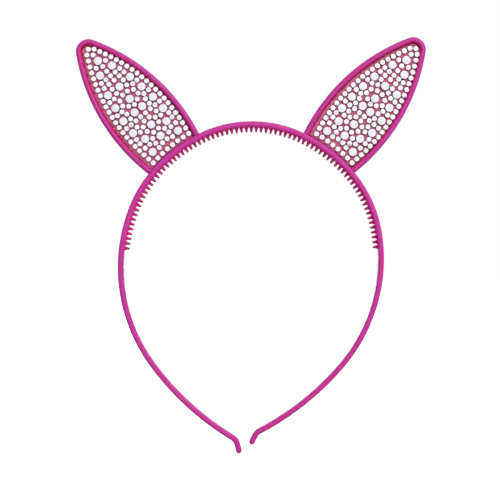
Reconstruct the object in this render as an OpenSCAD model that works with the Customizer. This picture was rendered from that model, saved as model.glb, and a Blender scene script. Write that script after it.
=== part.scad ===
// Rabbit-ear headband: a springy toothed band and two trays, each holding a sheet set with stones.
// Every piece is drawn as seen from the front, with x across, y up and z towards the viewer,
// and is then stood up so that +Z is up and the front faces -Y.
// The origin is the centre of the crown's arc.

/* [Band] */
// Outer radius of the crown, the arc over the top of the head
crown_r = 54.2; // [50:0.2:60]
// Turn of the crown to each side of the top, in degrees
crown_turn = 25.8; // [22:0.1:27]
// Outer radius of the flatter seat under each ear
seat_r = 67; // [60:0.2:76]
// Turn of each seat, in degrees
seat_turn = 25.4; // [22:0.1:26.5]
// Outer radius of each shoulder, between a seat and an arm
shoulder_r = 56.2; // [50:0.2:64]
// Outer radius of each arm
arm_r = 74.8; // [66:0.2:84]
// Outer radius of the flatter lower stretch of each arm
lower_arm_r = 126; // [100:0.2:150]
// Thickness of the band
band_thick = 2.6; // [2.2:0.1:3.4]
// Depth of the band from front to back
band_depth = 5; // [4.4:0.1:7]
// Rounding of the band's long edges
band_edge_r = 1; // [0.3:0.1:1]

/* [Spring of the arms] */
// Turn of the left shoulder, in degrees
left_shoulder_turn = 17.2; // [8:0.1:18.8]
// Turn of the right shoulder
right_shoulder_turn = 30.2; // [20:0.1:31.8]
// Turn of the left arm
left_arm_turn = 57.6; // [45:0.1:59.5]
// Turn of the right arm
right_arm_turn = 49.3; // [38:0.1:51]
// Turn of the left arm's lower stretch
left_lower_turn = 22.5; // [16:0.1:24]
// Turn of the right arm's lower stretch
right_lower_turn = 22; // [16:0.1:23.4]

/* [Tips] */
// Radius of the outward bend before each tip, at the middle of the band
tip_bend_r = 4.5; // [2.5:0.1:7]
// Turn of that bend on the left arm
left_tip_turn = 44; // [20:1:60]
// Turn of that bend on the right arm
right_tip_turn = 35; // [20:1:60]
// Straight length beyond the bend
tip_length = 3.2; // [1:0.1:6]

/* [Comb teeth] */
// Teeth on each side of the middle one
teeth_each_side = 38; // [20:1:50]
// Spacing of the teeth along the middle of the band
tooth_pitch = 2.31; // [1.8:0.01:2.6]
// Length of a tooth beyond the band
tooth_length = 2.25; // [1.5:0.05:5]
// Diameter of a tooth's tapered peg, carried on to the band
tooth_root_d = 1.6; // [0.8:0.05:1.6]
// Diameter of a tooth's round tip
tooth_tip_d = 1; // [0.4:0.05:1]
// Diameter of the flared foot where a tooth leaves the band
tooth_foot_d = 2.2; // [1.7:0.05:2.25]
// Height of that foot
tooth_foot_height = 0.7; // [0.2:0.05:0.8]

/* [Ears] */
// Largest width of an ear
ear_width = 33.4; // [28:0.2:40]
// Radius of the curve along each side
ear_side_r = 86.9; // [75:0.1:110]
// Outer radius of the rounded tip
ear_tip_r = 5.7; // [5.2:0.1:9]
// Height of the widest part above the band
ear_mid_height = 17.4; // [12:0.2:24]
// Lean of the ear's axis from upright, in degrees
ear_lean = 39.6; // [34:0.2:46]
// Thickness of the ear from front to back
ear_thick = 3.6; // [3:0.1:4.4]
// Width of the raised rim
rim_width = 2.3; // [1.6:0.1:2.8]
// Rounding of the rim's outer front edge, as a share of the rim's width
rim_outer_share = 0.56; // [0.4:0.02:0.58]
// Rounding of the rim's inner front edge, as a share of the rim's width
rim_inner_share = 0.4; // [0.1:0.02:0.4]
// Rounding of the rim's back edge
rim_back_r = 0.5; // [0.2:0.1:0.8]
// Thickness of the tray's floor
floor_thick = 1.2; // [0.8:0.1:1.6]

/* [Seats of the ears] */
// Length of the tongue under each ear, along the band
tongue_length = 22; // [10:0.5:26]
// Reach of the tongue into the band
tongue_depth = 0.9; // [0.4:0.1:1.2]
// Thickness of the tongue
tongue_thick = 0.7; // [0.4:0.1:0.8]
// Clearance between each ear and the band
seat_gap = 0.05; // [0.02:0.01:0.15]

/* [Stone sheets] */
// Thickness of the adhesive film
glue_thick = 0.15; // [0.05:0.05:0.3]
// Thickness of the sheet that carries the stones
sheet_thick = 0.4; // [0.2:0.05:0.6]
// Clearance between the sheet and the tray's walls
sheet_gap = 0.35; // [0.05:0.05:0.4]
// Distance of the left sheet's pattern from the ear's axis, outwards
left_pattern_out = -0.6; // [-0.6:0.1:0.6]
// Distance of the right sheet's pattern from the ear's axis, outwards
right_pattern_out = 0.6; // [-0.6:0.1:0.6]
// Distance of the left sheet's pattern above its nominal place
left_pattern_up = 0; // [-0.2:0.1:0.3]
// Distance of the right sheet's pattern above its nominal place
right_pattern_up = 0.3; // [-0.2:0.1:0.3]

/* [Stones] */
// Diameter of a small stone
small_d = 2.35; // [1.8:0.05:2.5]
// Height of a small stone
small_height = 1.1; // [0.6:0.1:1.4]
// Width of a small stone's flat top
small_table_d = 1.2; // [0.6:0.1:1.6]
// Diameter of a large stone
large_d = 3.8; // [3:0.1:4]
// Height of a large stone
large_height = 1.5; // [0.8:0.1:1.9]
// Width of a large stone's flat top
large_table_d = 1.6; // [0.8:0.1:2.4]
// Clearance between the tray's walls and the row of stones along its edge
edge_margin = 1.15; // [1.1:0.05:1.6]
// Clearance between the band and the row of stones at the ear's base
base_margin = 0.75; // [0.25:0.05:1]
// Least spacing of the stones along the edge
edge_pitch = 2.65; // [2.55:0.05:3.2]
// Height of the edge row's widest line above the ear's
edge_row_rise = 0.7; // [0:0.1:0.8]
// Radius of the edge row round the ear's tip
edge_row_tip_r = 2; // [1.4:0.1:3]
// Least clearance between two stones
stone_gap = 0.04; // [0.02:0.01:0.3]
// Length of one unit in the setting plans of the stones
plan_unit = 1; // [0.96:0.01:1.04]

/* [Hidden] */
$fn = 96;

plastic_colour = "#c93a94";
sheet_colour = "#c0557f";
glue_colour = "#e8c9d4";
small_stone_colour = "#f4f4f6";
large_stone_colour = "#e4ecf2";

left = -1;
right = 1;

// Each run of a bead is a hair slimmer than the run before it, and starts inside that run's end
run_slim = 0.02;
run_lap = 0.2;

// The band's middle line: each run is its radius and its turn, inwards where positive
band_mid = band_thick / 2;
left_runs = band_runs(left_shoulder_turn, left_arm_turn, left_lower_turn, left_tip_turn);
right_runs = band_runs(right_shoulder_turn, right_arm_turn, right_lower_turn, right_tip_turn);
tooth_sides = 24;
// Each tooth's foot starts this far inside the band
foot_lap = 0.3;

// An ear's outline: two side arcs that cross the axis, joined by the tip's arc
side_centre_x = ear_side_r - ear_width / 2;
tip_centre_y = sqrt(pow(ear_side_r - ear_tip_r, 2) - pow(side_centre_x, 2));
tip_joint_angle = atan2(tip_centre_y, side_centre_x);
foot_angle = asin((ear_mid_height + ear_width / 4) / ear_side_r);

// An ear's widest part stands over the middle of its seat, at a radius from the seat's centre
seat_centre = run_centre(right_runs, 1);
seat_middle = crown_turn + seat_turn / 2;
ear_mid_r = seat_r + ear_mid_height;

// The seat's centre, and the middle of the foot, seen from the ear
axis_offset = seat_middle - ear_lean;
seat_from_ear = -ear_mid_r * [sin(axis_offset), cos(axis_offset)];
foot_place = ear_lean - asin(seat_from_ear.x / seat_r);

// Levels in an ear, from the back to the front
ear_back = -ear_thick / 2;
floor_top = ear_back + floor_thick;
sheet_bottom = floor_top + glue_thick;
sheet_top = sheet_bottom + sheet_thick;
tongue_level = ear_back + floor_thick / 2;

// The row of small stones along a sheet's edge
row_inset = rim_width + edge_margin + small_d / 2;
row_side_r = ear_side_r - row_inset;
row_tip_y = edge_row_rise + sqrt(pow(row_side_r - edge_row_tip_r, 2) - pow(side_centre_x, 2));
row_joint_angle = atan2(row_tip_y - edge_row_rise, side_centre_x);
row_base_r = seat_r + base_margin + small_d / 2;
row_tip_arc = arc_length(edge_row_tip_r, 90 - row_joint_angle);
small_sides = 8;
large_sides = 12;
// A large stone's ring of slanted facets: its width and height as shares of the stone
large_break = [0.8, 0.55];

// Setting plan of the large stones: distance to each side of the axis, and height, in plan units
large_plan = [
    [0, 34.9],
    [3.5, 29.2],
    [6.5, 20.1], [0, 19.8],
    [7.65, 13.5], [0, 12.6],
    [8.6, 6.7], [2.2, 6.5],
    [8.75, -0.2], [0, -2.4],
    [6.2, -5.65], [0, -8.9],
    [7.45, -12.3]
];

// Setting plan of the small stones between them: height, and distances to each side, in plan units
fill_plan = [
    [38.3, [0]],
    [32.9, [2.75]],
    [31.6, [0]],
    [28.8, [0]],
    [26.1, [0, 2.7, 5.3]],
    [23.6, [0, 3, 5.8]],
    [21, [3.25]],
    [18.3, [3]],
    [17.1, [5.4, 7.95]],
    [16, [1.4]],
    [14.8, [4]],
    [12.2, [4.55]],
    [10.4, [2.5, 6.45, 9.1]],
    [9.4, [0]],
    [8.2, [5.4]],
    [5.5, [5.5]],
    [3.3, [1.4, 4.25, 7, 9.6]],
    [0.8, [1.45, 5.6]],
    [-1, [3.5]],
    [-1.9, [6]],
    [-3.3, [9.5]],
    [-3.6, [3.4]],
    [-5.8, [1.45, 9.4]],
    [-7.6, [3.5]],
    [-8.8, [6.2, 8.9]],
    [-10.1, [3.9]],
    [-11.9, [1.35]],
    [-12.7, [3.9]]
];

function degrees(arc, r) = arc / r * 180 / PI;

function arc_length(r, angle) = r * angle * PI / 180;

function band_runs(shoulder_turn, arm_turn, lower_turn, tip_turn) = [
    [crown_r - band_mid, crown_turn],
    [seat_r - band_mid, seat_turn],
    [shoulder_r - band_mid, shoulder_turn],
    [arm_r - band_mid, arm_turn],
    [lower_arm_r - band_mid, lower_turn],
    [tip_bend_r, -tip_turn]
];

// Turn of the middle line before run k
function turn_before(runs, k) = k == 0 ? 0 : turn_before(runs, k - 1) + runs[k - 1].y;

function run_centre(runs, k) =
    let (t = turn_before(runs, k))
    let (from = k == 0 ? [0, runs[0].x] : on_run(runs, k - 1, abs(runs[k - 1].y)))
    from - sign(runs[k].y) * runs[k].x * [sin(t), cos(t)];

// The point on run k, a degrees from its start
function on_run(runs, k, a) =
    let (way = sign(runs[k].y))
    let (t = turn_before(runs, k) + way * a)
    run_centre(runs, k) + way * runs[k].x * [sin(t), cos(t)];

// The run, and the degrees into it, at a distance along the middle line
function along(runs, distance, k = 0) =
    let (run_length = arc_length(runs[k].x, abs(runs[k].y)))
    distance <= run_length
        ? [k, degrees(distance, runs[k].x)]
        : along(runs, distance - run_length, k + 1);

// A stone is its place on the sheet and its diameter
function both_sides(x, y, d) = x == 0 ? [[0, y, d]] : [[-x, y, d], [x, y, d]];

function on_sheet(stone) =
    let (at = [abs(stone.x), stone.y])
    norm(at + [side_centre_x, -edge_row_rise]) <= row_side_r + (small_d - stone.z) / 2
        && norm(at + [0, ear_mid_r]) >= row_base_r + (stone.z - small_d) / 2;

function is_clear(stone, placed) =
    len([
        for (other = placed)
            if (norm([stone.x - other.x, stone.y - other.y]) < (stone.z + other.z) / 2 + stone_gap) other
    ]) == 0;

// Sets the stones of a plan one after another, wherever there is room
function settle(plan, placed, k = 0) =
    k == len(plan)
        ? placed
        : settle(
            plan,
            on_sheet(plan[k]) && is_clear(plan[k], placed) ? concat(placed, [plan[k]]) : placed,
            k + 1
        );

function part_of(list, from) = [for (k = [from : 1 : len(list) - 1]) list[k]];

// A point on the right half of the edge row, at a distance from its top
function on_edge_row(distance) =
    let (tip_angle = 90 - degrees(distance, edge_row_tip_r))
    let (side_angle = row_joint_angle - degrees(distance - row_tip_arc, row_side_r))
    distance < row_tip_arc
        ? [0, row_tip_y] + edge_row_tip_r * [cos(tip_angle), sin(tip_angle)]
        : [-side_centre_x, edge_row_rise] + row_side_r * [cos(side_angle), sin(side_angle)];

// The angle on a side arc where it meets the row along the ear's base
function edge_row_foot() =
    let (to_seat = [side_centre_x, -ear_mid_r - edge_row_rise])
    let (apart = norm(to_seat))
    let (spread = acos((pow(row_side_r, 2) + pow(apart, 2) - pow(row_base_r, 2)) / (2 * row_side_r * apart)))
    spread + atan2(to_seat.y, to_seat.x);

function edge_stones() =
    let (side_length = row_tip_arc + arc_length(row_side_r, row_joint_angle - edge_row_foot()))
    let (side_steps = floor(side_length / edge_pitch))
    let (corner = on_edge_row(side_length))
    let (base_half_angle = asin(corner.x / row_base_r))
    let (base_steps = floor(arc_length(row_base_r, 2 * base_half_angle) / edge_pitch))
    concat(
        [
            for (k = [0 : side_steps])
                let (at = on_edge_row(side_length * k / side_steps))
                each both_sides(k == 0 ? 0 : at.x, at.y, small_d)
        ],
        [
            for (k = [1 : 1 : base_steps - 1])
                let (a = base_half_angle * (2 * k / base_steps - 1))
                [row_base_r * sin(a), row_base_r * cos(a) - ear_mid_r, small_d]
        ]
    );

function with_large_stones() =
    let (plan = [for (p = large_plan * plan_unit) each both_sides(p.x, p.y, large_d)])
    settle(plan, edge_stones());

function large_stones() = part_of(with_large_stones(), len(edge_stones()));

function fill_stones() =
    let (before = with_large_stones())
    let (plan = [
        for (row = fill_plan)
            for (x = row.y)
                each both_sides(x * plan_unit, row.x * plan_unit, small_d)
    ])
    part_of(settle(plan, before), len(before));

module stand_up() {
    rotate([90, 0, 0])
        children();
}

// Draws on the right side of the headband, or mirrored on its left
module on_side(side) {
    if (side == left)
        mirror([1, 0, 0])
            children();
    else
        children();
}

// Draws in an ear's own frame: origin at its widest part, y along its axis to the tip
module at_ear() {
    translate(seat_centre + ear_mid_r * [sin(seat_middle), cos(seat_middle)])
        rotate([0, 0, -ear_lean])
            children();
}

// The band's section: x across its thickness, y along its depth
module band_section(slim) {
    size = [band_thick - slim, band_depth - slim];
    inner = size - 2 * band_edge_r * [1, 1];
    square([inner.x, size.y], center = true);
    square([size.x, inner.y], center = true);
    for (x = [-1, 1], y = [-1, 1])
        translate([x * inner.x, y * inner.y] / 2)
            circle(band_edge_r);
}

module crown() {
    rotate([0, 0, 90 - crown_turn])
        rotate_extrude(angle = 2 * crown_turn)
            translate([crown_r - band_mid, 0])
                band_section(0);
}

// One bend of an arm, which starts inside the run before it
module arm_run(runs, k) {
    turn = runs[k].y;
    lap = degrees(run_lap, runs[k].x);
    t = turn_before(runs, k);
    translate(run_centre(runs, k))
        rotate([0, 0, turn > 0 ? 90 - t - turn : 270 - t - lap])
            rotate_extrude(angle = abs(turn) + lap)
                translate([runs[k].x, 0])
                    band_section(k * run_slim);
}

// The straight end beyond the last bend, with a round end
module arm_tip(runs) {
    last = len(runs) - 1;
    end_slim = (last + 2) * run_slim;
    translate(on_run(runs, last, abs(runs[last].y)))
        rotate([0, 0, -turn_before(runs, len(runs))]) {
            translate([-run_lap, 0, 0])
                rotate([90, 0, 90])
                    linear_extrude(run_lap + tip_length)
                        band_section((last + 1) * run_slim);
            translate([tip_length, 0, 0])
                rotate_extrude()
                    intersection() {
                        band_section(end_slim);
                        translate([0, -band_depth])
                            square([band_thick, 2 * band_depth]);
                    }
        }
}

// A tapered peg with a flared foot and a round tip, along +z. The band's middle line is at z = 0
module tooth() {
    root_r = tooth_root_d / 2;
    tip_r = tooth_tip_d / 2;
    foot_r = tooth_foot_d / 2;
    tip_level = tooth_length - tip_r;
    peg_r = root_r - (root_r - tip_r) * tooth_foot_height / tip_level;
    flare = (foot_r - peg_r) / tooth_foot_height;
    translate([0, 0, band_mid])
        rotate_extrude($fn = tooth_sides) {
            polygon([
                [0, -foot_lap],
                [foot_r + flare * foot_lap, -foot_lap],
                [peg_r, tooth_foot_height],
                [tip_r, tip_level],
                [0, tip_level]
            ]);
            translate([0, tip_level])
                intersection() {
                    circle(tip_r);
                    square(tip_r);
                }
        }
}

module tooth_at(runs, distance) {
    at = along(runs, distance);
    translate(on_run(runs, at.x, at.y))
        rotate([0, 0, -turn_before(runs, at.x) - at.y])
            rotate([90, 0, 0])
                tooth();
}

module arm(runs) {
    for (k = [1 : len(runs) - 1])
        arm_run(runs, k);
    arm_tip(runs);
    for (k = [1 : teeth_each_side])
        tooth_at(runs, k * tooth_pitch);
}

// The tongue under an ear, or its slot in the band with a clearance all round
module tongue(gap, top_r) {
    half_angle = degrees(tongue_length / 2 + gap, seat_r);
    bottom_r = seat_r - tongue_depth - gap;
    translate(seat_centre)
        rotate([0, 0, 90 - foot_place - half_angle])
            rotate_extrude(angle = 2 * half_angle)
                translate([bottom_r, tongue_level - tongue_thick / 2 - gap])
                    square([top_r - bottom_r, tongue_thick + 2 * gap]);
}

module band() {
    color(plastic_colour)
        stand_up()
            difference() {
                union() {
                    crown();
                    tooth_at(right_runs, 0);
                    arm(right_runs);
                    on_side(left)
                        arm(left_runs);
                }
                for (side = [left, right])
                    on_side(side)
                        tongue(seat_gap, seat_r + band_thick);
            }
}

// An ear's outline, drawn in by a distance
module ear_outline(inset) {
    side_r = ear_side_r - inset;
    joint_y = side_r * sin(tip_joint_angle);
    intersection() {
        translate([-side_centre_x, 0])
            circle(side_r);
        translate([side_centre_x, 0])
            circle(side_r);
        translate([-ear_width, joint_y - 2 * ear_side_r])
            square([2 * ear_width, 2 * ear_side_r]);
    }
    translate([0, tip_centre_y])
        circle(ear_tip_r - inset);
}

// The inside of the tray, a clearance away from its walls and from the band
module tray_inside(gap) {
    difference() {
        ear_outline(rim_width + gap);
        translate(seat_from_ear)
            circle(seat_r + gap);
    }
}

// The rim's section, with its outer side at a radius
module rim_section(outer_r, slim) {
    width = rim_width - slim;
    inner_r = outer_r - rim_width + slim / 2;
    height = ear_thick - slim;
    outer_edge_r = width * rim_outer_share;
    inner_edge_r = width * rim_inner_share;
    translate([inner_r, -height / 2]) {
        square([width - rim_back_r, height - outer_edge_r]);
        translate([0, rim_back_r])
            square([width, height - outer_edge_r - rim_back_r]);
        square([width - outer_edge_r, height - inner_edge_r]);
        translate([inner_edge_r, 0])
            square([width - inner_edge_r - outer_edge_r, height]);
        translate([width - rim_back_r, rim_back_r])
            circle(rim_back_r);
        translate([width - outer_edge_r, height - outer_edge_r])
            circle(outer_edge_r);
        translate([inner_edge_r, height - inner_edge_r])
            circle(inner_edge_r);
    }
}

module rim() {
    lap = degrees(run_lap, ear_tip_r);
    for (side = [left, right])
        on_side(side)
            translate([-side_centre_x, 0, 0])
                rotate([0, 0, -foot_angle])
                    rotate_extrude(angle = tip_joint_angle + foot_angle)
                        rim_section(ear_side_r, 0);
    translate([0, tip_centre_y, 0])
        rotate([0, 0, tip_joint_angle - lap])
            rotate_extrude(angle = 180 - 2 * tip_joint_angle + 2 * lap)
                rim_section(ear_tip_r, run_slim);
}

module ear_frame(side) {
    color(plastic_colour)
        stand_up()
            on_side(side) {
                difference() {
                    at_ear() {
                        rim();
                        translate([0, 0, ear_back])
                            linear_extrude(floor_thick)
                                ear_outline(rim_width / 2);
                    }
                    translate(seat_centre)
                        cylinder(h = 2 * ear_thick, r = seat_r + seat_gap, center = true);
                }
                tongue(0, seat_r + tongue_depth);
            }
}

module glue_film(side) {
    color(glue_colour)
        stand_up()
            on_side(side)
                at_ear()
                    translate([0, 0, floor_top])
                        linear_extrude(glue_thick)
                            tray_inside(2 * sheet_gap);
}

module sheet(side) {
    color(sheet_colour)
        stand_up()
            on_side(side)
                at_ear()
                    translate([0, 0, sheet_bottom])
                        linear_extrude(sheet_thick)
                            tray_inside(sheet_gap);
}

// A flat-backed stone: rings of [radius, height], each a regular polygon
module stone(rings, sides) {
    top = len(rings) - 1;
    polyhedron(
        points = [
            for (ring = rings, k = [0 : sides - 1])
                let (a = 360 * k / sides)
                [ring.x * cos(a), ring.x * sin(a), ring.y]
        ],
        faces = concat(
            [[for (k = [0 : sides - 1]) k]],
            [
                for (level = [0 : top - 1], k = [0 : sides - 1])
                    let (next = (k + 1) % sides)
                    [
                        level * sides + k,
                        (level + 1) * sides + k,
                        (level + 1) * sides + next,
                        level * sides + next
                    ]
            ],
            [[for (k = [sides - 1 : -1 : 0]) top * sides + k]]
        )
    );
}

module small_stone() {
    stone([[small_d / 2, 0], [small_table_d / 2, small_height]], small_sides);
}

module large_stone() {
    stone(
        [
            [large_d / 2, 0],
            [large_d / 2 * large_break.x, large_height * large_break.y],
            [large_table_d / 2, large_height]
        ],
        large_sides
    );
}

module on_pattern(side, stones) {
    out = side == left ? left_pattern_out : right_pattern_out;
    up = side == left ? left_pattern_up : right_pattern_up;
    stand_up()
        on_side(side)
            at_ear()
                for (at = stones)
                    translate([at.x + out, at.y + up, sheet_top])
                        children();
}

module edge_stone_row(side) {
    color(small_stone_colour)
        on_pattern(side, edge_stones())
            small_stone();
}

module fill_stone_group(side) {
    color(small_stone_colour)
        on_pattern(side, fill_stones())
            small_stone();
}

module large_stone_group(side) {
    color(large_stone_colour)
        on_pattern(side, large_stones())
            large_stone();
}

band();
ear_frame(left);  // left_ear_frame
ear_frame(right);  // right_ear_frame
glue_film(left);  // left_glue_film
glue_film(right);  // right_glue_film
sheet(left);  // left_sheet
sheet(right);  // right_sheet
edge_stone_row(left);  // left_edge_stones
edge_stone_row(right);  // right_edge_stones
fill_stone_group(left);  // left_fill_stones
fill_stone_group(right);  // right_fill_stones
large_stone_group(left);  // left_large_stones
large_stone_group(right);  // right_large_stones
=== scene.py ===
"""Looks of a rabbit-ear headband: glossy moulded plastic, and two pink sheets set with faceted stones.

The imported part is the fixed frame, in metres. +Z is up and the front faces -Y.
"""

import math
import random

import bmesh
import bpy
from mathutils import Matrix, Vector, noise


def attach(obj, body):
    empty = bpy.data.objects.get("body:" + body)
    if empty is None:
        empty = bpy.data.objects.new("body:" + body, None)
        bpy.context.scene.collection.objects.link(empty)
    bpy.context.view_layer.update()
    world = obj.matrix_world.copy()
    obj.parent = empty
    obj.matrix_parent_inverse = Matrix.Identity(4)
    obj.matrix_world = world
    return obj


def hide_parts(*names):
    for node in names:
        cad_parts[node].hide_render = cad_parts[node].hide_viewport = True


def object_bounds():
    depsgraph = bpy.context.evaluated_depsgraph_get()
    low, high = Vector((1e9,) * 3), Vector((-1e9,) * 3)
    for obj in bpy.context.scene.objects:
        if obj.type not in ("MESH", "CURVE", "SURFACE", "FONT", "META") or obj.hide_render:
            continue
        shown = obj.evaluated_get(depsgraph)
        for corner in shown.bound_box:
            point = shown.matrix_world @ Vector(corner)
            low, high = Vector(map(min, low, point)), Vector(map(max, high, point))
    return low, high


MM = 0.001
WHITE = (1, 1, 1, 1)
SIDES = ("left", "right")

# The photograph's frame, as it lies on the headband's own plane
FRAME_WIDTH = 225 * MM
FRAME_MIDDLE = Vector((-0.92, 0, -3.6)) * MM
CAMERA_DISTANCE = 580 * MM
CAMERA_ROLL = math.radians(0.35)
# Lens and sensor are in millimetres, as cameras give them
SENSOR_WIDTH = 36

# Light: a wide soft lamp up in front, a little to the right, a weaker one level with the back,
# and a room with a white backdrop. Lamps have their power in watts.
KEY_LAMP = {"place": Vector((850, -2170, 1520)) * MM, "size": 2250 * MM, "power": 89}
BACK_LAMP = {"place": Vector((-200, 1300, 0)) * MM, "size": 1200 * MM, "power": 14}
BACKDROP_SIDE = Vector((0.1, 0.9, 0.4))
FRONT_LIGHT = 0.06
BACKDROP_LIGHT = 0.45

# The floor shows white: its own glow makes up for the lamp's light, which falls off with distance
FLOOR_SIZE = 6000 * MM
GLOW_NEAR = 0.7
GLOW_FAR = 1.0
GLOW_REACH = 1200 * MM

# The sheets: the lean of their axes, the grid that they are cut into, and their unevenness
EAR_LEAN = math.radians(39.6)
SHEET_STEP = 1.5 * MM
SHEET_WAVE = 0.03 * MM
SHEET_WAVE_LENGTH = 7 * MM
SHARP_EDGE = math.radians(40)
# Faces of a sheet whose normals have a y below this are its front
FRONT_NORMAL = -0.9

# Points of a CAD mesh closer than this are one point
WELD = 0.002 * MM

# A cut stone: the count of its sides, its rings from the foil's lip up, as shares of radius and height,
# and its rows of facets up to the flat top. Each row has its tint, with a painted pink reflection of the
# sheet in the lowest, and the share of its facets that get a painted dark reflection.
SMALL_CUT = {
    "sides": 8,
    "rings": [(1.0, 0.72), (0.66, 0.93), (0.27, 1.0)],
    "rows": [((255, 243, 250), 0.01), ((255, 251, 254), 0.03), ((246, 249, 250), 0)],
}
LARGE_CUT = {
    "sides": 12,
    "rings": [(1.0, 0.72), (0.78, 0.88), (0.48, 0.97), (0.22, 1.0)],
    "rows": [((255, 230, 243), 0), ((252, 241, 247), 0), ((247, 245, 248), 0), ((240, 246, 247), 0)],
}
STONE_TILT = math.radians(2.5)
# Tints that facets get by chance
SMALL_TINTS = [(255, 255, 255), (255, 255, 255), (252, 252, 253), (250, 248, 250), (244, 244, 246)]
LARGE_TINTS = [(236, 242, 246), (246, 240, 246), (228, 240, 246), (234, 246, 244), (250, 252, 252)]
DARK_REFLECTION_TINT = (104, 100, 108)
# Places of a stone's two materials
FACET = 0
FOIL = 1
# Share of the front's direction in the shading of a stone, whose foil sends light back from every side
FOIL_GLANCE = 0.8

# Pinks of the plastic by how open the surface lies. Those below the open pink are painted light and shade:
# the deeper crimson in recesses stands in for light thrown back and forth there.
RECESS_REACH = 5.5 * MM
OPEN_SHARES = (0.4, 0.7, 0.97, 1)
BAND_PINKS_AND_PAINTED_RECESS = [(230, 22, 126), (226, 22, 126), (203, 22, 114), (193, 49, 146)]
EAR_PINKS_AND_PAINTED_RECESS = [(222, 6, 80), (214, 2, 77), (204, 18, 98), (186, 49, 142)]
# Painted shade on the teeth, which lie in the band's shade. They are thin, so openness taken inside them
# stays about or below the first share, and in the band itself it is above the second.
TOOTH_REACH = 1.6 * MM
TOOTH_PAINTED_SHADE = (204, 226, 234)
TOOTH_SHARES = (0.6, 0.8)
# Painted shade between stones, from the narrowest gaps to the open sheet
GAP_REACH = 1 * MM
GAP_PAINTED_SHADE = (96, 74, 88)
GAP_SHARES = (0.4, 0.7)
# Rays from a point that tell how open it lies
OPENNESS_RAYS = 16


def srgb(red, green, blue):
    """A colour as picked from a screen, made linear, with full opacity."""
    shares = (red / 255, green / 255, blue / 255)
    linear = [s / 12.92 if s <= 0.04045 else ((s + 0.055) / 1.055) ** 2.4 for s in shares]
    return (*linear, 1)


class Surface:
    """A procedural material in the making: its shader, and short calls for the nodes that feed it."""

    def __init__(self, name):
        self.material = bpy.data.materials.new(name)
        self.material.use_nodes = True
        self.tree = self.material.node_tree
        self.shader = self.tree.nodes["Principled BSDF"]

    def add(self, kind, **settings):
        node = self.tree.nodes.new(kind)
        for name, value in settings.items():
            setattr(node, name, value)
        return node

    def set(self, **values):
        for name, value in values.items():
            self.shader.inputs[name.replace("_", " ")].default_value = value

    def feed(self, source, socket):
        self.tree.links.new(source, self.shader.inputs[socket])

    def place(self, stretch=(1, 1, 1)):
        """Object coordinates, which stay with the piece, stretched along its axes."""
        mapping = self.add("ShaderNodeMapping")
        mapping.inputs["Scale"].default_value = stretch
        self.tree.links.new(self.add("ShaderNodeTexCoord").outputs["Object"], mapping.inputs["Vector"])
        return mapping.outputs["Vector"]

    def noise(self, place, scale, detail):
        node = self.add("ShaderNodeTexNoise")
        node.inputs["Scale"].default_value = scale
        node.inputs["Detail"].default_value = detail
        self.tree.links.new(place, node.inputs["Vector"])
        return node.outputs["Fac"]

    def ramp(self, value, stops):
        node = self.add("ShaderNodeValToRGB")
        steps = node.color_ramp.elements
        while len(steps) < len(stops):
            steps.new(0.5)
        for step, (position, colour) in zip(steps, stops):
            step.position = position
            step.color = colour
        self.tree.links.new(value, node.inputs["Fac"])
        return node.outputs["Color"]

    def fading_shade(self, value, shares, colour):
        """A painted shade that holds up to the first share of a value, and is gone from the second."""
        return self.ramp(value, [(shares[0], srgb(*colour)), (shares[1], WHITE)])

    def spread(self, value, low, high):
        """A value from 0 to 1, spread between two others."""
        node = self.add("ShaderNodeMapRange")
        node.inputs["To Min"].default_value = low
        node.inputs["To Max"].default_value = high
        self.tree.links.new(value, node.inputs["Value"])
        return node.outputs["Result"]

    def bump(self, height, strength, distance):
        node = self.add("ShaderNodeBump")
        node.inputs["Strength"].default_value = strength
        node.inputs["Distance"].default_value = distance
        self.tree.links.new(height, node.inputs["Height"])
        self.feed(node.outputs["Normal"], "Normal")

    def openness(self, reach, own, inside=False):
        """1 where the surface lies open, and less where this piece, or any, covers it within a reach.

        Inside, it is taken on the piece's own side of the surface, and is low where the piece is thin.
        """
        node = self.add("ShaderNodeAmbientOcclusion", only_local=own, inside=inside, samples=OPENNESS_RAYS)
        node.inputs["Distance"].default_value = reach
        return node.outputs["AO"]

    def shaded(self, colour, shade):
        """A colour times a shade."""
        mix = self.add("ShaderNodeMix", data_type="RGBA", blend_type="MULTIPLY")
        mix.inputs["Factor"].default_value = 1
        self.tree.links.new(colour, mix.inputs["A"])
        self.tree.links.new(shade, mix.inputs["B"])
        return mix.outputs["Result"]


def moulded_plastic(name, pinks, has_teeth):
    """Glossy plastic: a pink for each share of openness, painted light and shade in recesses, painted shade
    on thin teeth.
    """
    surface = Surface(name)
    place = surface.place()
    # Painted light and shade: the pinks deepen to crimson where the surface lies in a recess
    painted_recess_ramp = [(share, srgb(*pink)) for share, pink in zip(OPEN_SHARES, pinks)]
    colour = surface.ramp(surface.openness(RECESS_REACH, own=True), painted_recess_ramp)
    if has_teeth:
        # Painted shade on the thin teeth
        thickness = surface.openness(TOOTH_REACH, own=True, inside=True)
        colour = surface.shaded(colour, surface.fading_shade(thickness, TOOTH_SHARES, TOOTH_PAINTED_SHADE))
    flow = surface.noise(place, scale=55, detail=3)
    flow_shade = surface.ramp(flow, [(0.3, srgb(246, 246, 246)), (0.7, WHITE)])
    surface.feed(surface.shaded(colour, flow_shade), "Base Color")
    gloss = surface.noise(place, scale=700, detail=4)
    surface.feed(surface.spread(gloss, low=0.36, high=0.5), "Roughness")
    surface.bump(surface.noise(place, scale=420, detail=5), strength=0.12, distance=0.1 * MM)
    surface.set(IOR=1.5, Specular_IOR_Level=0.2)
    return surface.material


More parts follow.
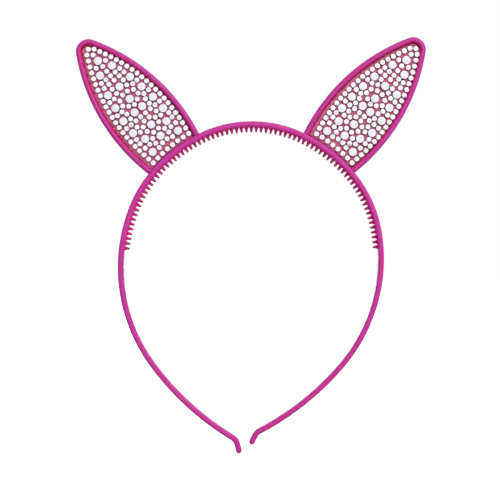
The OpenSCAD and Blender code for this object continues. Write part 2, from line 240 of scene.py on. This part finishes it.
def sheet_fabric():
    surface = Surface("pink_sheet_fabric")
    fibres = surface.noise(surface.place((1, 1, 0.35)), scale=2600, detail=6)
    colour = surface.ramp(fibres, [(0.3, srgb(168, 62, 102)), (0.65, srgb(194, 96, 134))])
    # Painted shade on the sheet where the stones crowd it
    between = surface.fading_shade(surface.openness(GAP_REACH, own=False), GAP_SHARES, GAP_PAINTED_SHADE)
    surface.feed(surface.shaded(colour, between), "Base Color")
    surface.bump(fibres, strength=0.5, distance=0.08 * MM)
    surface.set(Roughness=0.75, Sheen_Weight=0.2)
    return surface.material


def set_adhesive():
    surface = Surface("set_adhesive_film")
    clouds = surface.noise(surface.place(), scale=300, detail=4)
    colour = surface.ramp(clouds, [(0.3, srgb(222, 186, 200)), (0.7, srgb(236, 208, 218))])
    surface.feed(colour, "Base Color")
    surface.set(Roughness=0.4)
    return surface.material


def cut_stone(name):
    surface = Surface(name)
    clouds = surface.noise(surface.place(), scale=900, detail=3)
    shade = surface.ramp(clouds, [(0.3, srgb(238, 238, 240)), (0.6, WHITE)])
    facet = surface.add("ShaderNodeAttribute", attribute_name="facet")
    surface.feed(surface.shaded(facet.outputs["Color"], shade), "Base Color")
    surface.set(Roughness=0.12, IOR=1.5)
    return surface.material


def stone_foil():
    surface = Surface("stone_foil")
    shade_and_scuffs = surface.noise(surface.place(), scale=2400, detail=4)
    # The foil's dark wine is painted shade between the stones, in place of its own silver, varied by scuffs
    surface.feed(surface.ramp(shade_and_scuffs, [(0.3, srgb(62, 16, 34)), (0.7, srgb(86, 32, 52))]), "Base Color")
    surface.set(Roughness=0.4, Metallic=0.5)
    return surface.material


def seen_as(tree, rays, shown, light):
    """A strength of light: shown for the kinds of ray that are named, and light for all others."""
    path = tree.nodes.new("ShaderNodeLightPath")
    seen = path.outputs[rays[0]]
    for ray in rays[1:]:
        either = tree.nodes.new("ShaderNodeMath")
        either.operation = "MAXIMUM"
        tree.links.new(seen, either.inputs[0])
        tree.links.new(path.outputs[ray], either.inputs[1])
        seen = either.outputs["Value"]
    level = tree.nodes.new("ShaderNodeMix")
    tree.links.new(seen, level.inputs["Factor"])
    for socket, strength in (("A", light), ("B", shown)):
        if isinstance(strength, bpy.types.NodeSocket):
            tree.links.new(strength, level.inputs[socket])
        else:
            level.inputs[socket].default_value = strength
    return level.outputs["Result"]


def make_world():
    """A room that looks white, and that lights the part from its backdrop."""
    world = bpy.data.worlds.new("white_room")
    bpy.context.scene.world = world
    world.use_nodes = True
    tree = world.node_tree
    background = tree.nodes["Background"]
    background.inputs["Color"].default_value = WHITE
    towards = tree.nodes.new("ShaderNodeVectorMath")
    towards.operation = "DOT_PRODUCT"
    towards.inputs[1].default_value = BACKDROP_SIDE.normalized()
    tree.links.new(tree.nodes.new("ShaderNodeTexCoord").outputs["Generated"], towards.inputs[0])
    light = tree.nodes.new("ShaderNodeMapRange")
    light.inputs["To Min"].default_value = FRONT_LIGHT
    light.inputs["To Max"].default_value = BACKDROP_LIGHT
    tree.links.new(towards.outputs["Value"], light.inputs["Value"])
    rays = ("Is Camera Ray", "Is Glossy Ray")
    strength = seen_as(tree, rays, shown=1, light=light.outputs["Result"])
    tree.links.new(strength, background.inputs["Strength"])


def make_floor(level):
    bpy.ops.mesh.primitive_plane_add(size=FLOOR_SIZE, location=(0, 0, level))
    floor = bpy.context.object
    floor.name = "floor"
    surface = Surface("pale_floor")
    place = surface.place()
    grain = surface.noise(place, scale=30, detail=3)
    surface.feed(surface.ramp(grain, [(0.3, srgb(216, 216, 216)), (0.7, srgb(222, 222, 222))]), "Base Color")
    surface.set(Roughness=0.9, Specular_IOR_Level=0, Emission_Color=WHITE)
    away = surface.add("ShaderNodeVectorMath", operation="LENGTH")
    surface.tree.links.new(place, away.inputs[0])
    glow = surface.add("ShaderNodeMapRange")
    glow.inputs["From Max"].default_value = GLOW_REACH
    glow.inputs["To Min"].default_value = GLOW_NEAR
    glow.inputs["To Max"].default_value = GLOW_FAR
    surface.tree.links.new(away.outputs["Value"], glow.inputs["Value"])
    strength = seen_as(surface.tree, ("Is Camera Ray",), shown=glow.outputs["Result"], light=0)
    surface.feed(strength, "Emission Strength")
    floor.data.materials.append(surface.material)


def make_camera():
    data = bpy.data.cameras.new("camera")
    data.sensor_width = SENSOR_WIDTH
    data.lens = SENSOR_WIDTH * CAMERA_DISTANCE / FRAME_WIDTH
    camera = bpy.data.objects.new("camera", data)
    camera.location = FRAME_MIDDLE + Vector((0, -CAMERA_DISTANCE, 0))
    camera.rotation_euler = (math.pi / 2, CAMERA_ROLL, 0)
    bpy.context.scene.collection.objects.link(camera)
    bpy.context.scene.camera = camera


def make_lamp(name, place, size, power):
    """A square soft lamp that faces the part."""
    data = bpy.data.lights.new(name, "AREA")
    data.size = size
    data.energy = power
    lamp = bpy.data.objects.new(name, data)
    lamp.location = place
    lamp.rotation_euler = (-place).to_track_quat("-Z", "Y").to_euler()
    bpy.context.scene.collection.objects.link(lamp)


def cad_shape(node):
    """A copy of a CAD node's mesh, with its points joined."""
    shape = bmesh.new()
    shape.from_mesh(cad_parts[node].data)
    bmesh.ops.remove_doubles(shape, verts=shape.verts, dist=WELD)
    return shape


def new_piece(name, shape, materials):
    """An object made from a finished shape, with its materials in order."""
    mesh = bpy.data.meshes.new(name)
    shape.to_mesh(mesh)
    shape.free()
    piece = bpy.data.objects.new(name, mesh)
    bpy.context.scene.collection.objects.link(piece)
    for material in materials:
        mesh.materials.append(material)
    return piece


def paint(node, material):
    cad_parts[node].material_slots[0].material = material


def fabric_sheet(side, material):
    """A sheet in its tray: the CAD sheet's outline, cut into a grid and made a little uneven."""
    node = f"{side}_sheet"
    lean = -EAR_LEAN if side == "left" else EAR_LEAN
    up = Vector((math.sin(lean), 0, math.cos(lean)))
    across = Vector((math.cos(lean), 0, -math.sin(lean)))
    shape = cad_shape(node)
    for axis in (across, up):
        reach = [vert.co.dot(axis) for vert in shape.verts]
        low, high = min(reach), max(reach)
        for k in range(1, math.ceil((high - low) / SHEET_STEP)):
            everything = shape.verts[:] + shape.edges[:] + shape.faces[:]
            cut = axis * (low + k * SHEET_STEP)
            bmesh.ops.bisect_plane(shape, geom=everything, plane_co=cut, plane_no=axis)
    area = sum(face.calc_area() for face in shape.faces if face.normal.y < FRONT_NORMAL)
    for vert in shape.verts:
        vert.co.y += SHEET_WAVE * noise.noise(Vector((vert.co.x, 0, vert.co.z)) / SHEET_WAVE_LENGTH)
    piece = new_piece(node + "_cloth", shape, (material,))
    piece.data.set_sharp_from_angle(angle=SHARP_EDGE)
    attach(piece, "root")
    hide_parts(node)


def corners(points):
    """The lowest and highest corners of the box round some points."""
    points = list(points)
    return Vector(map(min, *points)), Vector(map(max, *points))


def islands(shape):
    """The points of each separate solid of a shape, in the order of their first points."""
    unseen = set(shape.verts)
    for start in shape.verts:
        if start not in unseen:
            continue
        unseen.remove(start)
        island = [start]
        for vert in island:
            for edge in vert.link_edges:
                other = edge.other_vert(vert)
                if other in unseen:
                    unseen.remove(other)
                    island.append(other)
        yield island


def stone_seats(node):
    """The middle of each stone's back in a CAD group, and the radius and height that its stones share."""
    shape = cad_shape(node)
    boxes = [corners(vert.co for vert in island) for island in islands(shape)]
    shape.free()
    seats = [Vector(((low.x + high.x) / 2, high.y, (low.z + high.z) / 2)) for low, high in boxes]
    low, high = boxes[-1]
    return seats, (high.x - low.x) / 2, high.y - low.y


def ring(shape, placed, sides, radius, level, turned):
    """A ring of points round a stone's axis, half a step further round where turned is 1 and not 0."""
    turns = [2 * math.pi * (k + turned / 2) / sides for k in range(sides)]
    points = [Vector((radius * math.cos(a), radius * math.sin(a), level)) for a in turns]
    return [shape.verts.new(placed @ point) for point in points]


def foil_cup(shape, foot, lip):
    """The foil under a stone and round its lower part."""
    count = len(foot)
    made = [shape.faces.new(reversed(foot))]
    for k in range(count):
        after = (k + 1) % count
        made.append(shape.faces.new((foot[k], foot[after], lip[after], lip[k])))
    for face in made:
        face.material_index = FOIL
    return made


def facets(shape, low, high, high_turned):
    """Triangles between two rings, of which one is turned by half a step."""
    count = len(low)
    made = []
    for k in range(count):
        after = (k + 1) % count
        if high_turned:
            made.append(shape.faces.new((low[k], low[after], high[k])))
            made.append(shape.faces.new((low[after], high[after], high[k])))
        else:
            made.append(shape.faces.new((low[k], high[after], high[k])))
            made.append(shape.faces.new((low[k], low[after], high[after])))
    return made


def tint_face(face, colours, colour):
    for loop in face.loops:
        loop[colours] = colour


def set_stone(shape, colours, seat, radius, height, cut, tints, chance):
    """One cut stone in its foil, on its seat and facing -Y."""
    sides = cut["sides"]
    tilt = Matrix.Rotation(STONE_TILT * chance.uniform(-1, 1), 4, "X")
    turn = Matrix.Rotation(chance.uniform(0, 2 * math.pi), 4, "Z")
    placed = Matrix.Translation(seat) @ Matrix.Rotation(math.pi / 2, 4, "X") @ turn @ tilt
    foot = ring(shape, placed, sides, radius, level=0, turned=0)
    rings = []
    for k, (share, level) in enumerate(cut["rings"]):
        rings.append(ring(shape, placed, sides, radius * share, height * level, turned=k % 2))
    for face in foil_cup(shape, foot, rings[0]):
        tint_face(face, colours, WHITE)
    rows = [facets(shape, rings[k - 1], rings[k], high_turned=k % 2) for k in range(1, len(rings))]
    rows.append([shape.faces.new(rings[-1])])
    # Row tints hold painted reflections: the sheet's pink in the lowest, and something dark on a few facets
    for row, (tint, dark_reflection_share) in zip(rows, cut["rows"]):
        for face in row:
            # A facet gets either a painted dark reflection or a tint by chance
            own = DARK_REFLECTION_TINT if chance.random() < dark_reflection_share else chance.choice(tints)
            tint_face(face, colours, Vector(srgb(*own)) * Vector(srgb(*tint)))


def glance(mesh):
    """Turns the shading of the facets towards the front, and leaves that of the foil."""
    front = Vector((0, -FOIL_GLANCE, 0))
    normals = []
    for face in mesh.polygons:
        shading = face.normal.copy()
        if face.material_index == FACET:
            shading = (shading * (1 - FOIL_GLANCE) + front).normalized()
        normals += [shading] * face.loop_total
    mesh.normals_split_custom_set(normals)


def stone_group(node, cut, tints, materials):
    """The cut stones of one CAD group."""
    seats, radius, height = stone_seats(node)
    chance = random.Random(node)
    shape = bmesh.new()
    colours = shape.loops.layers.float_color.new("facet")
    for seat in seats:
        set_stone(shape, colours, seat, radius, height, cut, tints, chance)
    piece = new_piece(node + "_cut", shape, materials)
    glance(piece.data)
    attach(piece, "root")
    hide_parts(node)


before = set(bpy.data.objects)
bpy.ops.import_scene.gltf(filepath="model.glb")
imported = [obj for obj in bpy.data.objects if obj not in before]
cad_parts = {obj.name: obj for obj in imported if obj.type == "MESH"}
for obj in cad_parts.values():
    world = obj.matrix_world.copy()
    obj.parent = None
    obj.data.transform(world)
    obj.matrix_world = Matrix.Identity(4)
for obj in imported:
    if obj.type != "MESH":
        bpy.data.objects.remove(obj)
cad_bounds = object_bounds()
bpy.context.scene.view_settings.view_transform = "Standard"

make_camera()
make_world()
make_floor(level=cad_bounds[0].z)
make_lamp("key", **KEY_LAMP)
make_lamp("back", **BACK_LAMP)

paint("band", moulded_plastic("band_plastic", BAND_PINKS_AND_PAINTED_RECESS, has_teeth=True))
ear_plastic = moulded_plastic("ear_plastic", EAR_PINKS_AND_PAINTED_RECESS, has_teeth=False)
fabric = sheet_fabric()
adhesive = set_adhesive()
foil = stone_foil()
small_stones = cut_stone("small_cut_stone")
large_stones = cut_stone("large_cut_stone")
for side in SIDES:
    paint(f"{side}_ear_frame", ear_plastic)
    paint(f"{side}_glue_film", adhesive)
    fabric_sheet(side, fabric)
    stone_group(f"{side}_edge_stones", SMALL_CUT, SMALL_TINTS, (small_stones, foil))
    stone_group(f"{side}_fill_stones", SMALL_CUT, SMALL_TINTS, (small_stones, foil))
    stone_group(f"{side}_large_stones", LARGE_CUT, LARGE_TINTS, (large_stones, foil))
